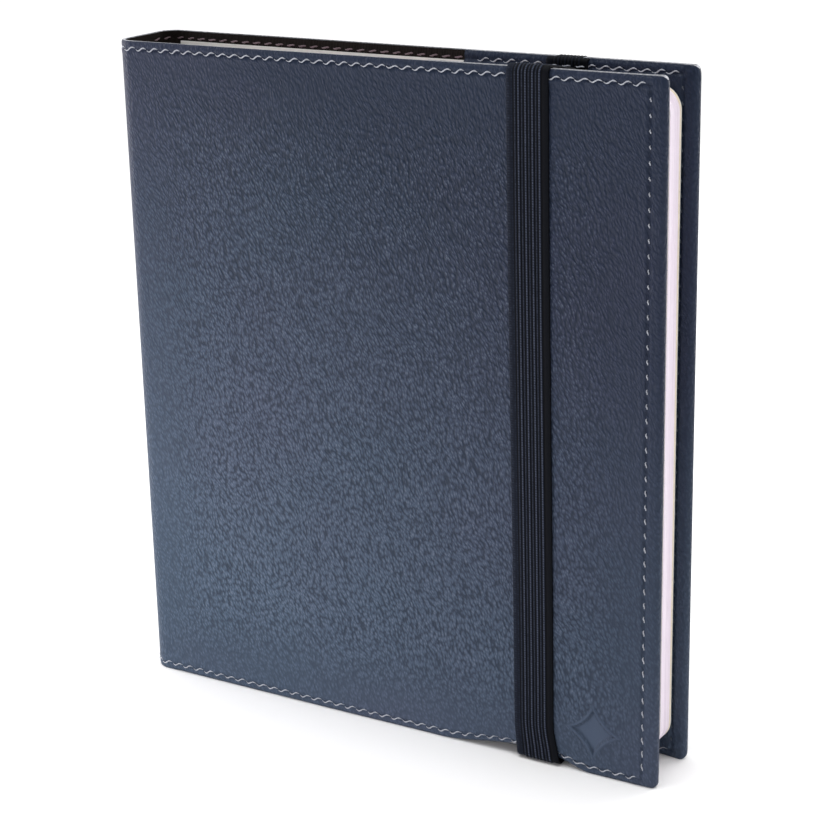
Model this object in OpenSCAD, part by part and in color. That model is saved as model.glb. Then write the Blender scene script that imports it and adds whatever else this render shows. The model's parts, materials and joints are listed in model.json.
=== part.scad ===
// Logbook cover with a page refill: a soft stitched cover with turned-in pocket flaps, an elastic band,
// and a sewn page block whose card covers slide into the pockets. It stands upright on its lower edges.
// Book directions: X runs from the spine to the fore-edge, Y from the front cover to the back cover, Z up.

/* [Cover] */
// Height of the cover
cover_h = 240; // [200:1:300]
// Width of the cover, from the spine to the fore-edge fold
cover_w = 212; // [180:1:240]
// Thickness of the closed book at the fore-edge
fore_t = 28; // [26:0.5:34]
// Thickness of the closed book at the spine
spine_t = 32; // [30:0.5:38]
// Radius of the two long corners of the spine
spine_r = 7; // [5:0.5:8]
// Thickness of the leatherette
leather_t = 1.2; // [0.8:0.1:1.4]
// Thickness of the stiffening board in each cover
board_t = 0.9; // [0.6:0.1:1]
// Thickness of the fabric lining
lining_t = 0.3; // [0.2:0.1:0.4]
// Width of the leatherette turned in at the fore-edge, which makes the pocket flap
flap_w = 85; // [60:1:110]

/* [Refill] */
// Thickness of the card covers of the page block
card_t = 0.4; // [0.3:0.1:0.5]
// Gap between the card covers and the top and bottom edges of the cover
card_inset = 3.6; // [3.5:0.1:5]
// Gap between the pages and the top and bottom edges of the cover
page_inset = 6.3; // [6:0.1:10]
// Gap between the pages and the fore-edge of the cover
page_fore_inset = 5.3; // [5:0.1:10]
// Radius of the rounded page corners
page_corner_r = 8; // [2:0.5:12]
// Number of sewn page sections in each half of the block
sections_per_half = 3; // [2:1:5]
// Thickness of an endpaper
endpaper_t = 0.3; // [0.2:0.1:0.4]
// Thickness of one of the two bundles of loose middle leaves
leaf_t = 0.4; // [0.2:0.1:0.4]

/* [Elastic band] */
// Width of the elastic band
band_w = 15; // [10:1:20]
// Thickness of the elastic band
band_t = 1.1; // [0.8:0.1:1.2]
// Distance from the middle of the band to the fore-edge
band_inset = 46; // [30:1:70]
// Length of the band end sewn down inside the back cover
band_end_h = 5.6; // [4:0.1:6]

/* [Stitching] */
// Distance from one stitch to the next
stitch_pitch = 4.9; // [4:0.1:6]
// Length of the thread that shows in one stitch
stitch_len = 3.7; // [3:0.1:3.9]
// Width of the thread
stitch_w = 0.6; // [0.4:0.1:0.8]
// Slant of each stitch, in degrees
stitch_slant = 10; // [0:1:12]
// Distance from the top and bottom edges to their seams
seam_inset = 2.7; // [2.5:0.1:3]
// Distance from the fore-edge fold to its seam
fore_seam_inset = 5.2; // [4.5:0.1:6]

/* [Hidden] */
$fn = 48;

// Running clearance between pieces that move apart
gap = 0.15;
// Small extra depth of a cut past the face that it opens
over = 1;
// Whole thickness of a cover at its pocket: two layers of leatherette, board, lining and card
stack_t = 2 * leather_t + board_t + lining_t + card_t;
fold_r = stack_t / 2;
// The back cover leans by this angle, because the book is thicker at the spine
lean = asin((spine_t - fore_t) / (cover_w - spine_r));

// The seam channel that the thread lies in, and the thread's place in it
channel_d = 0.4;
channel_w = 1.5;
stitch_t = 0.35;
thread_sink = (channel_d - stitch_t) / 2;
flap_thread_y = stack_t - channel_d + thread_sink;
// A row of stitches starts this far in from the spine or from the flap's cut edge
row_margin = 1;
// The lining is cut back this far from the edges of the leatherette
lining_cut_back = 0.3;
// The board lies inside the seams, and clear of the fold lines of the spine
board_inset = card_inset + 0.4;
board_spine_gap = 2;
board_seam_gap = 1;
// The card covers stop this far short of the fore-edge seam
card_seam_gap = 2;

// Notches where the band crosses the edges of the front cover
band_x = cover_w - band_inset;
notch_w = band_w + 2;
top_notch = band_t + 0.2;
bottom_notch = 2.2;
band_margin = 0.1;
// The moving band stops this far short of the ends sewn to the back cover
band_end_gap = 0.5;

// The page block: its hinge line is the middle of its own spine
block_x = spine_r + 0.2;
block_w = cover_w - page_fore_inset - block_x;
block_h = cover_h - 2 * page_inset;
// The block lies this far from each cover
block_clear = 0.4;
block_front_y = stack_t + block_clear;
block_back_y = fore_t - stack_t - block_clear;
block_mid_y = (block_front_y + block_back_y) / 2;
strip_t = 0.5;
leaf_gap = 0.3;
half_gap = leaf_t + 1.5 * leaf_gap;
half_t = (block_back_y - block_front_y) / 2 - half_gap;
section_t = (half_t - endpaper_t) / sections_per_half;
// The loose leaves start a little way from the hinge line, so that they can fan out
leaf_x = 0.8;

// The origin is the middle of the base of the whole book
book_x = -cover_w / 2;
book_y = -(spine_t - band_t) / 2;

leather_colour = [0.20, 0.24, 0.32];
lining_colour = [0.16, 0.13, 0.12];
board_colour = [0.62, 0.58, 0.52];
thread_colour = [0.72, 0.73, 0.76];
band_colour = [0.06, 0.08, 0.13];
card_colour = [0.93, 0.92, 0.88];
paper_colour = [0.90, 0.86, 0.89];

// A box given by its low and high corners
module span(low, high) {
    translate(low)
        cube(high - low);
}

// Puts children drawn in book directions into the object's frame
module in_book() {
    translate([book_x, book_y, 0])
        children();
}

// Puts a cover drawn as the front one on the back of the book
module on_back() {
    translate([spine_r, spine_t, 0])
        rotate([0, 0, -lean])
            mirror([0, 1, 0])
                translate([-spine_r, 0, 0])
                    children();
}

// ---- Leatherette of one cover, drawn as the front cover: outer sheet, fore-edge fold and pocket flap ----
module folded_sheet() {
    span([spine_r + gap, 0, 0], [cover_w - fold_r, leather_t, cover_h]);
    span([cover_w - flap_w, stack_t - leather_t, 0], [cover_w - fold_r, stack_t, cover_h]);
    intersection() {
        translate([cover_w - fold_r, fold_r, 0])
            difference() {
                cylinder(r = fold_r, h = cover_h);
                translate([0, 0, -over])
                    cylinder(r = fold_r - leather_t, h = cover_h + 2 * over);
            }
        span([cover_w - fold_r, 0, 0], [cover_w, stack_t, cover_h]);
    }
}

// Channels on both faces that the threads lie in
module seam_channels() {
    for (face = [[-over, channel_d], [stack_t - channel_d, stack_t + over]]) {
        for (z = [seam_inset, cover_h - seam_inset])
            span([spine_r - over, face[0], z - channel_w / 2], [cover_w - fore_seam_inset, face[1], z + channel_w / 2]);
        span([cover_w - fore_seam_inset - channel_w / 2, face[0], seam_inset],
             [cover_w - fore_seam_inset + channel_w / 2, face[1], cover_h - seam_inset]);
    }
}

// The room that the band needs where it crosses the edges
module band_notches() {
    for (z = [[-over, bottom_notch], [cover_h - top_notch, cover_h + over]])
        span([band_x - notch_w / 2, -over, z[0]], [band_x + notch_w / 2, stack_t + over, z[1]]);
}

module cover_leather() {
    difference() {
        folded_sheet();
        seam_channels();
    }
}

module cover_board() {
    span([spine_r + board_spine_gap, leather_t, board_inset],
         [cover_w - fore_seam_inset - board_seam_gap, leather_t + board_t, cover_h - board_inset]);
}

module cover_lining() {
    low_y = leather_t + board_t;
    span([spine_r + gap, low_y, lining_cut_back], [cover_w - fold_r, low_y + lining_t, cover_h - lining_cut_back]);
}

module card_cover() {
    high_y = stack_t - leather_t;
    span([block_x + gap, high_y - card_t, card_inset],
         [cover_w - fore_seam_inset - card_seam_gap, high_y, cover_h - card_inset]);
}

// ---- Seams: rows of separate slanted stitches ----
// One stitch, centred on its own middle, along X, on the face at Y = 0
module stitch(length = stitch_len, slant = stitch_slant) {
    rotate([0, slant, 0])
        translate([-length / 2, 0, -stitch_w / 2])
            cube([length, stitch_t, stitch_w]);
}

// Stitches along X from x_low to x_high, on the face at Y = face_y
module row_along_x(x_low, x_high, face_y, z) {
    count = floor((x_high - x_low) / stitch_pitch);
    for (i = [0:count - 1])
        translate([x_high - (i + 0.5) * stitch_pitch, face_y, z])
            stitch();
}

// Stitches along Z beside the fore-edge fold
module row_along_z(face_y) {
    count = floor((cover_h - 2 * seam_inset) / stitch_pitch);
    low_z = (cover_h - count * stitch_pitch) / 2;
    for (i = [0:count - 1])
        translate([cover_w - fore_seam_inset, face_y, low_z + (i + 0.5) * stitch_pitch])
            rotate([0, 90, 0])
                stitch();
}

// The thread of a top or bottom seam shows on the outer face, and on the flap
module level_seam(z) {
    row_end = cover_w - fore_seam_inset - channel_w;
    row_along_x(spine_r + row_margin, row_end, thread_sink, z);
    row_along_x(cover_w - flap_w + row_margin, row_end, flap_thread_y, z);
}

module fore_seam() {
    row_along_z(thread_sink);
    row_along_z(flap_thread_y);
}

// ---- Spine ----
// Outline of a layer of the spine between two depths below its outer surface, seen from above
module spine_layer(depth_out, depth_in) {
    difference() {
        spine_outline(depth_out);
        spine_outline(depth_in);
        translate([spine_r - gap, -over])
            square([cover_w, spine_t + 2 * over]);
    }
}

module spine_outline(depth) {
    for (y = [spine_r, spine_t - spine_r])
        translate([spine_r, y])
            circle(r = spine_r - depth);
    translate([depth, spine_r])
        square([2 * spine_r, spine_t - 2 * spine_r]);
    translate([spine_r, depth])
        square([2 * spine_r, spine_t - 2 * depth]);
}

module spine_channel(z) {
    translate([0, 0, z - channel_w / 2])
        linear_extrude(channel_w)
            difference() {
                translate([-over, -over])
                    square([spine_r + over, spine_t + 2 * over]);
                spine_outline(channel_d);
            }
}

module spine_leather_shape() {
    difference() {
        linear_extrude(cover_h)
            spine_layer(0, leather_t);
        spine_channel(seam_inset);
        spine_channel(cover_h - seam_inset);
    }
}

// Stitches across the flat of the spine and at the middle of each rounded corner
module spine_seam(z) {
    for (i = [-1:1])
        translate([thread_sink, spine_t / 2 + i * stitch_pitch, z])
            rotate([0, 0, -90])
                stitch();
    // A short level stitch fits the bend
    for (side = [-1, 1])
        translate([spine_r, spine_t / 2 + side * (spine_t / 2 - spine_r), z])
            rotate([0, 0, side > 0 ? -135 : -45])
                translate([0, thread_sink - spine_r, 0])
                    stitch(stitch_len / 2, 0);
}

// ---- Elastic band ----
// The moving band: the strand down the front and its returns over the top and under the bottom edges
module band_shape() {
    high_z = cover_h - band_margin;
    back_face_y = spine_t - (spine_t - fore_t) * (band_x - spine_r) / (cover_w - spine_r);
    back_y = back_face_y - stack_t - band_t - band_end_gap;
    low_x = band_x - band_w / 2;
    high_x = band_x + band_w / 2;
    span([low_x, -band_t, band_margin], [high_x, 0, high_z]);
    span([low_x, -band_t, high_z - band_t], [high_x, back_y, high_z]);
    span([low_x, -band_t, band_margin], [high_x, back_y, band_margin + band_t]);
}

// One end of the band, sewn to the flap of the back cover, drawn as on the front cover
module band_end(low_z) {
    span([band_x - band_w / 2, stack_t, low_z], [band_x + band_w / 2, stack_t + band_t, low_z + band_end_h]);
}

module tack_stitches() {
    for (z = [seam_inset, cover_h - seam_inset])
        for (i = [-1:1])
            translate([band_x + i * stitch_pitch, stack_t + band_t, z])
                stitch();
}

// ---- Page block ----
// A leaf or stack of leaves between two depths of the book, with round corners at the fore-edge
module leaves(low_y, high_y, start_x) {
    low_z = page_inset;
    width = block_w - start_x;
    translate([block_x + start_x, high_y, low_z])
        rotate([90, 0, 0])
            linear_extrude(high_y - low_y) {
                square([width - page_corner_r, block_h]);
                translate([0, page_corner_r])
                    square([width, block_h - 2 * page_corner_r]);
                for (z = [page_corner_r, block_h - page_corner_r])
                    translate([width - page_corner_r, z])
                        circle(r = page_corner_r);
            }
}

module spine_strip(low_y, high_y) {
    span([block_x, low_y, page_inset], [block_x + strip_t, high_y, cover_h - page_inset]);
}

// Section number i of the front half, counted from the front cover
module front_section(i) {
    low_y = block_front_y + endpaper_t + (i - 1) * section_t;
    color(paper_colour) in_book() leaves(low_y, low_y + section_t, strip_t);
}

// Section number i of the back half, counted from the back cover
module back_section(i) {
    high_y = block_back_y - endpaper_t - (i - 1) * section_t;
    color(paper_colour) in_book() leaves(high_y - section_t, high_y, strip_t);
}

// ---- Sub-parts ----
module front_cover_leather() {
    color(leather_colour) in_book() difference() {
        cover_leather();
        band_notches();
    }
}

module front_cover_board() {
    color(board_colour) in_book() cover_board();
}

module front_cover_lining() {
    color(lining_colour) in_book() difference() {
        cover_lining();
        band_notches();
    }
}

module front_seam_top() {
    color(thread_colour) in_book() level_seam(cover_h - seam_inset);
}

module front_seam_bottom() {
    color(thread_colour) in_book() level_seam(seam_inset);
}

module front_seam_fore() {
    color(thread_colour) in_book() fore_seam();
}

module spine_leather() {
    color(leather_colour) in_book() spine_leather_shape();
}

module spine_lining() {
    color(lining_colour) in_book()
        translate([0, 0, lining_cut_back])
            linear_extrude(cover_h - 2 * lining_cut_back)
                spine_layer(leather_t, leather_t + lining_t);
}

module spine_seams() {
    color(thread_colour) in_book() for (z = [seam_inset, cover_h - seam_inset]) spine_seam(z);
}

module back_cover_leather() {
    color(leather_colour) in_book() on_back() cover_leather();
}

module back_cover_board() {
    color(board_colour) in_book() on_back() cover_board();
}

module back_cover_lining() {
    color(lining_colour) in_book() on_back() cover_lining();
}

module back_seam_top() {
    color(thread_colour) in_book() on_back() level_seam(cover_h - seam_inset);
}

module back_seam_bottom() {
    color(thread_colour) in_book() on_back() level_seam(seam_inset);
}

module back_seam_fore() {
    color(thread_colour) in_book() on_back() fore_seam();
}

module elastic_band() {
    color(band_colour) in_book() band_shape();
}

module band_end_top() {
    color(band_colour) in_book() on_back() band_end(cover_h - band_margin - band_end_h);
}

module band_end_bottom() {
    color(band_colour) in_book() on_back() band_end(band_margin);
}

module band_tack_stitches() {
    color(thread_colour) in_book() on_back() tack_stitches();
}

module front_card_cover() {
    color(card_colour) in_book() card_cover();
}

module back_card_cover() {
    color(card_colour) in_book() on_back() card_cover();
}

module front_endpaper() {
    color(card_colour) in_book() leaves(block_front_y, block_front_y + endpaper_t, 0);
}

module front_section_1() {
    front_section(1);
}

module front_section_2() {
    front_section(2);
}

module front_section_3() {
    front_section(3);
}

module front_spine_strip() {
    color(card_colour) in_book() spine_strip(block_front_y + endpaper_t, block_front_y + half_t);
}

module middle_leaves_front() {
    high_y = block_mid_y - leaf_gap / 2;
    color(paper_colour) in_book() leaves(high_y - leaf_t, high_y, leaf_x);
}

module middle_leaves_back() {
    low_y = block_mid_y + leaf_gap / 2;
    color(paper_colour) in_book() leaves(low_y, low_y + leaf_t, leaf_x);
}

module back_endpaper() {
    color(card_colour) in_book() leaves(block_back_y - endpaper_t, block_back_y, 0);
}

module back_section_1() {
    back_section(1);
}

module back_section_2() {
    back_section(2);
}

module back_section_3() {
    back_section(3);
}

module back_spine_strip() {
    color(card_colour) in_book() spine_strip(block_back_y - half_t, block_back_y - endpaper_t);
}

front_cover_leather();
front_cover_board();
front_cover_lining();
front_seam_top();
front_seam_bottom();
front_seam_fore();
spine_leather();
spine_lining();
spine_seams();
back_cover_leather();
back_cover_board();
back_cover_lining();
back_seam_top();
back_seam_bottom();
back_seam_fore();
elastic_band();
band_end_top();
band_end_bottom();
band_tack_stitches();
front_card_cover();
back_card_cover();
front_endpaper();
front_section_1();
front_section_2();
front_section_3();
front_spine_strip();
middle_leaves_front();
middle_leaves_back();
back_endpaper();
back_section_1();
back_section_2();
back_section_3();
back_spine_strip();
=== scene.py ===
"""Looks of the logbook: a stitched leatherette cover, a ribbed elastic band and a page refill."""

import json
import math

import bpy
import numpy as np
from mathutils import Euler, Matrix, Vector


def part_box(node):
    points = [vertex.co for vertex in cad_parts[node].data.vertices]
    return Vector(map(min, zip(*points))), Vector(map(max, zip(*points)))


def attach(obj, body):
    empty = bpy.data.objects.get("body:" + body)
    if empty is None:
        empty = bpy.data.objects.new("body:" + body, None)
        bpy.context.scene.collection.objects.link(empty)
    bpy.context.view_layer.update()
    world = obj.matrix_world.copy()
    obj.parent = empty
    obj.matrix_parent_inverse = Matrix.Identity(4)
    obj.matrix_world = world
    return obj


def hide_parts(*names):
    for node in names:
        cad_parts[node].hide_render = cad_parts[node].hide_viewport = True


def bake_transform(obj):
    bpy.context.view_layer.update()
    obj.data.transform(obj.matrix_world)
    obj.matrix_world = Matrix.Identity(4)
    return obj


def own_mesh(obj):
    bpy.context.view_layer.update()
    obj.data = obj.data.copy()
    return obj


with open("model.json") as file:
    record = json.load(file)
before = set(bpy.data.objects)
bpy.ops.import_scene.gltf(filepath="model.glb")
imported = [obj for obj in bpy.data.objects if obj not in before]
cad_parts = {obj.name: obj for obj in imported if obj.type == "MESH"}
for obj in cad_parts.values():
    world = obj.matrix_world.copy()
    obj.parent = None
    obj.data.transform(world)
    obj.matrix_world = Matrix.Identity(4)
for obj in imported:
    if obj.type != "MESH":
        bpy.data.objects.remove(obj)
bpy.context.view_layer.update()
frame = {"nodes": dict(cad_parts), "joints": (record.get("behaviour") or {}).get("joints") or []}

# ---- Measures, in metres, from the frame ----
MM = 0.001
JOINTS = {j["name"]: j for j in frame["joints"]}
front_low, front_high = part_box("front_cover_leather")
band_low, band_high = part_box("elastic_band")
back_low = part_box("back_cover_leather")[0]
spine_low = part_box("spine_leather")[0]

SPINE_X = spine_low.x
FORE_X = front_high.x
HEIGHT = front_high.z
FRONT_Y = front_low.y
HINGE_X = JOINTS["front_cover_fold"]["pos_m"][0]
BACK_Y = JOINTS["cover_open"]["pos_m"][1]
SPINE_R = HINGE_X - SPINE_X
SPINE_T = BACK_Y - FRONT_Y
STACK = front_high.y - front_low.y
FOLD_R = STACK / 2
FORE_T = back_low.y + STACK - FRONT_Y
LEAN = math.asin((SPINE_T - FORE_T) / (FORE_X - HINGE_X))
BAND_X = (band_low.x + band_high.x) / 2
BAND_W = band_high.x - band_low.x
BAND_T = FRONT_Y - band_low.y

# Sizes that the boxes don't give
LEATHER_T = 1.2 * MM
LINING_T = 0.3 * MM
LINING_DEPTH = 2.1 * MM
LINING_UNDER_FLAP = 14 * MM
FLAP_W = 85 * MM
SEAM_INSET = 2.7 * MM
FORE_SEAM_INSET = 5.2 * MM
SEAM_CLEAR = 1.5 * MM
PITCH = 4.9 * MM
STITCH_LEN = 4.6 * MM
SWAY = 0.46 * MM
SMALL_SWAY = 0.12 * MM
THREAD_R = 0.24 * MM
LINING_STITCH_LEN = 3.5 * MM
LINING_THREAD_R = 0.30 * MM
TACK_LEN = 3.4 * MM
CORNER_R = 2.4 * MM
BAND_LEAN = 1.5 * MM
BAND_SAG = 4.6 * MM
BAND_TOP_R = 1.7 * MM
BAND_LOW_R = 1.8 * MM
LEFT_SELVAGE = 2.7 * MM
RIGHT_SELVAGE = 2.4 * MM
BAND_RIBS = 8

STITCH_END_X = FORE_X - FORE_SEAM_INSET - SEAM_CLEAR
FLAP_X = FORE_X - FLAP_W
FORE_SEAM_X = FORE_X - FORE_SEAM_INSET
FORE_COUNT = int((HEIGHT - 2 * SEAM_INSET) / PITCH)
FORE_LOW_Z = (HEIGHT - FORE_COUNT * PITCH) / 2
MOTIF_X = FORE_X - 23.5 * MM
MOTIF_Z = 16 * MM
MOTIF_R = 8.5 * MM
MOTIF_DEPTH = 0.75 * MM
PAGE_CORNER_R = 8 * MM
LEAF_T = 0.12 * MM
LOOSE_LEAF_T = 0.13 * MM

# Patterns: scales in cells to a metre, the lean in degrees, and the rest in metres
GRAIN_SCALE = 960
WRINKLE_SCALE = 860
GRAIN_LEAN = 22
GRAIN_HEIGHT = 0.42 * MM
LINING_RIB = 0.62 * MM
LINING_WEFT = 0.45 * MM
KNIT_PITCH = 0.85 * MM
RULE_PITCH = 8 * MM
COLUMN_PITCH = 27 * MM
RULED_REACH = 98 * MM


# ---- Mesh helpers ----
def mesh_object(name, points, faces, materials, face_material=None, smooth=True):
    """A mesh object from points and faces, with one material index for each face."""
    mesh = bpy.data.meshes.new(name)
    mesh.from_pydata([tuple(p) for p in np.asarray(points, float)], [], [tuple(map(int, f)) for f in faces])
    for material in materials:
        mesh.materials.append(material)
    if face_material is not None:
        mesh.polygons.foreach_set("material_index", np.asarray(face_material, np.int32))
    mesh.polygons.foreach_set("use_smooth", np.full(len(mesh.polygons), smooth))
    mesh.update()
    made = bpy.data.objects.new(name, mesh)
    bpy.context.scene.collection.objects.link(made)
    return made


def grid_faces(columns, rows, start=0, flip=False):
    """Quads of a grid of points stored column by column."""
    i, j = np.meshgrid(np.arange(columns - 1), np.arange(rows - 1), indexing="ij")
    a = start + i * rows + j
    quads = np.stack([a, a + rows, a + rows + 1, a + 1], -1).reshape(-1, 4)
    return quads[:, ::-1] if flip else quads


def closed_sheet(name, outer, inner, materials):
    """A closed sheet. Its outer face is a fine grid, and its inner face has every second point of it.
    Materials are those of the outer face, the cut edge and the inner face."""
    columns, rows = outer.shape[:2]
    few, low = inner.shape[:2]
    start = columns * rows
    faces = list(grid_faces(columns, rows))
    kinds = [0] * len(faces)
    back = list(grid_faces(few, low, start, flip=True))
    faces += back
    kinds += [2] * len(back)
    loop = [(i, 0) for i in range(few)] + [(few - 1, j) for j in range(1, low)]
    loop += [(i, low - 1) for i in range(few - 2, -1, -1)] + [(0, j) for j in range(low - 2, 0, -1)]
    for (i, j), (k, m) in zip(loop, loop[1:] + loop[:1]):
        near = [2 * i * rows + 2 * j, (i + k) * rows + (j + m), 2 * k * rows + 2 * m]
        faces.append((*near[::-1], start + i * low + j, start + k * low + m))
        kinds.append(1)
    points = np.concatenate([outer.reshape(-1, 3), inner.reshape(-1, 3)])
    made = mesh_object(name, points, faces, materials, kinds)
    made.data.set_sharp_from_angle(angle=math.radians(55))
    return made


def point_values(piece, name, values):
    """Writes a number for each of a mesh's first points, and 0 for the rest."""
    full = np.zeros(len(piece.data.vertices), np.float32)
    full[:values.size] = values.ravel()
    piece.data.attributes.new(name, "FLOAT", "POINT").data.foreach_set("value", full)


def smooth_step(t):
    """0 up to 0, 1 from 1 on, and a soft rise between them."""
    t = np.clip(t, 0, 1)
    return t * t * (3 - 2 * t)


# ---- Materials ----
def new_material(name, colour, roughness):
    """A material of one colour, and its shader."""
    material = bpy.data.materials.new(name)
    material.use_nodes = True
    shader = material.node_tree.nodes["Principled BSDF"]
    shader.inputs["Base Color"].default_value = (*colour, 1)
    shader.inputs["Roughness"].default_value = roughness
    return material, shader


class Nodes:
    """Short names for the nodes of one material."""

    def __init__(self, material):
        self.tree = material.node_tree
        self.place = self.add("ShaderNodeTexCoord").outputs["Object"]

    def add(self, kind, **values):
        node = self.tree.nodes.new(kind)
        for key, value in values.items():
            setattr(node, key, value)
        return node

    def link(self, source, target):
        self.tree.links.new(source, target)

    def mapped(self, scale, turn=(0, 0, 0), source=None):
        node = self.add("ShaderNodeMapping")
        node.inputs["Scale"].default_value = scale
        node.inputs["Rotation"].default_value = [math.radians(a) for a in turn]
        self.link(source or self.place, node.inputs["Vector"])
        return node.outputs["Vector"]

    def noise(self, scale, detail=2.0, source=None):
        node = self.add("ShaderNodeTexNoise")
        node.inputs["Scale"].default_value = scale
        node.inputs["Detail"].default_value = detail
        self.link(source or self.place, node.inputs["Vector"])
        return node

    def voronoi(self, scale, source, feature):
        node = self.add("ShaderNodeTexVoronoi", feature=feature)
        node.inputs["Scale"].default_value = scale
        self.link(source, node.inputs["Vector"])
        return node

    def math(self, operation, first, second=0.0, third=0.0):
        node = self.add("ShaderNodeMath", operation=operation)
        for socket, value in zip(node.inputs, (first, second, third)):
            if isinstance(value, (int, float)):
                socket.default_value = value
            else:
                self.link(value, socket)
        return node.outputs[0]

    def ramp(self, source, stops):
        node = self.add("ShaderNodeValToRGB")
        elements = node.color_ramp.elements
        while len(elements) < len(stops):
            elements.new(0.5)
        for element, (position, colour) in zip(elements, stops):
            element.position = position
            element.color = (*colour, 1)
        self.link(source, node.inputs["Fac"])
        return node.outputs["Color"]

    def remap(self, source, low, high, to_low, to_high):
        node = self.add("ShaderNodeMapRange")
        for key, value in (("From Min", low), ("From Max", high), ("To Min", to_low), ("To Max", to_high)):
            node.inputs[key].default_value = value
        self.link(source, node.inputs["Value"])
        return node.outputs["Result"]

    def mix(self, factor, first, second):
        node = self.add("ShaderNodeMix", data_type="RGBA")
        for socket, value in ((node.inputs[0], factor), (node.inputs[6], first), (node.inputs[7], second)):
            if isinstance(value, (int, float)):
                socket.default_value = value
            elif isinstance(value, tuple):
                socket.default_value = (*value, 1)
            else:
                self.link(value, socket)
        return node.outputs[2]

    def bump(self, height, distance):
        node = self.add("ShaderNodeBump")
        node.inputs["Distance"].default_value = distance
        node.inputs["Strength"].default_value = 1.0
        self.link(height, node.inputs["Height"])
        return node.outputs["Normal"]


def leather_material():
    """Semi-matt slate blue leatherette with soft elongated pebbles that lean a little off the upright."""
    material, shader = new_material("slate_leatherette", (0.025, 0.040, 0.072), 0.42)
    n = Nodes(material)

    def shifted(source, scale, amount):
        """The same place, moved a little by noise, so that the grain wanders."""
        node = n.add("ShaderNodeVectorMath", operation="MULTIPLY_ADD")
        node.inputs[1].default_value = (amount, amount, amount)
        n.link(n.noise(scale, 2, source).outputs["Color"], node.inputs[0])
        n.link(source, node.inputs[2])
        return node.outputs[0]

    wandering = shifted(shifted(n.place, 30, 0.008), 560, 0.0006)
    leaning = n.mapped((1, 1, 1), (0, GRAIN_LEAN, 0), wandering)
    grain_space = n.mapped((1.3, 1.3, 0.6), source=leaning)
    pebbles = n.voronoi(GRAIN_SCALE, grain_space, "SMOOTH_F1")
    pebbles.inputs["Smoothness"].default_value = 0.28
    wrinkles = n.noise(WRINKLE_SCALE, 2, grain_space).outputs["Fac"]
    height = n.math("MULTIPLY_ADD", wrinkles, 0.6, n.math("SUBTRACT", 0.75, pebbles.outputs["Distance"]))
    smooth = n.add("ShaderNodeAttribute", attribute_name="smooth").outputs["Fac"]
    height = n.math("MULTIPLY", height, n.remap(smooth, 0, 1, 1.0, 0.2))
    rough = n.remap(smooth, 0, 1, 1.0, 0.0)

    # Painted light and shade: the hide is painted a little lighter and bluer towards the foot of the spine,
    # and darker towards the top and the fore-edge
    split = n.add("ShaderNodeSeparateXYZ")
    n.link(n.place, split.inputs[0])
    up = n.math("MULTIPLY", split.outputs[2], 0.68 / HEIGHT)
    across = n.math("MULTIPLY_ADD", split.outputs[0], 0.36 / (FORE_X - SPINE_X), 0.18)
    away = n.remap(n.math("ADD", up, across), 0.22, 0.78, 0.0, 1.0)
    patches = n.noise(7, 3).outputs["Fac"]
    # The first ramp is the painted lit tone and the second the painted shaded tone, each with random patches
    light = n.ramp(patches, [(0.32, (0.059, 0.092, 0.139)),
                             (0.5, (0.065, 0.090, 0.137)),
                             (0.7, (0.076, 0.089, 0.142))])
    painted_shade_tone = n.ramp(patches, [(0.32, (0.017, 0.028, 0.053)), (0.7, (0.023, 0.028, 0.056))])
    tone = n.mix(away, light, painted_shade_tone)
    # Painted highlight: the crests of the grain are painted a lighter blue
    crest = n.math("MULTIPLY", n.remap(height, 0.72, 1.05, 0.0, 0.5), rough)
    tone = n.mix(crest, tone, (0.13, 0.155, 0.20))
    # Painted shade: the valleys of the grain are painted near black
    painted_valley_shade = n.math("MULTIPLY", n.remap(height, 0.32, 0.70, 0.68, 0.0), rough)
    n.link(n.mix(painted_valley_shade, tone, (0.006, 0.011, 0.022)), shader.inputs["Base Color"])
    n.link(n.remap(height, 0.3, 1.0, 0.50, 0.38), shader.inputs["Roughness"])
    n.link(n.bump(height, GRAIN_HEIGHT), shader.inputs["Normal"])
    shader.inputs["Specular IOR Level"].default_value = 0.16
    return material


def cut_edge_material():
    """The cut edge of the leatherette: pale backing fibres with a darker coat."""
    material, shader = new_material("leatherette_cut_edge", (0.45, 0.46, 0.49), 0.75)
    n = Nodes(material)
    fibres = n.noise(900, 4, n.mapped((1, 1, 2.5))).outputs["Fac"]
    n.link(n.ramp(fibres, [(0.3, (0.22, 0.23, 0.26)), (0.5, (0.48, 0.49, 0.53)), (0.75, (0.74, 0.74, 0.78))]),
           shader.inputs["Base Color"])
    n.link(n.bump(fibres, 0.1 * MM), shader.inputs["Normal"])
    return material


def lining_material():
    """Dark brown ribbed fabric. The ribs run up the book."""
    material, shader = new_material("ribbed_lining", (0.012, 0.009, 0.008), 0.92)
    n = Nodes(material)
    split = n.add("ShaderNodeSeparateXYZ")
    n.link(n.place, split.inputs[0])
    around = n.math("ADD", split.outputs[0], split.outputs[1])
    rib = n.math("SINE", n.math("MULTIPLY", around, 2 * math.pi / LINING_RIB))
    weft = n.math("SINE", n.math("MULTIPLY", split.outputs[2], 2 * math.pi / LINING_WEFT))
    weave = n.math("MULTIPLY_ADD", weft, 0.35, rib)
    fuzz = n.noise(1400, 3).outputs["Fac"]
    height = n.math("MULTIPLY_ADD", fuzz, 0.6, weave)
    # Painted light and shade: the colour follows the weave's height, lighter on the rib tops and darker in
    # the grooves
    tone = n.ramp(n.remap(height, -1.2, 1.6, 0, 1), [(0.0, (0.003, 0.002, 0.002)),
                                                     (0.6, (0.011, 0.008, 0.007)),
                                                     (1.0, (0.026, 0.020, 0.017))])
    n.link(tone, shader.inputs["Base Color"])
    n.link(n.bump(height, 0.08 * MM), shader.inputs["Normal"])
    shader.inputs["Specular IOR Level"].default_value = 0.15
    return material


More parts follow.
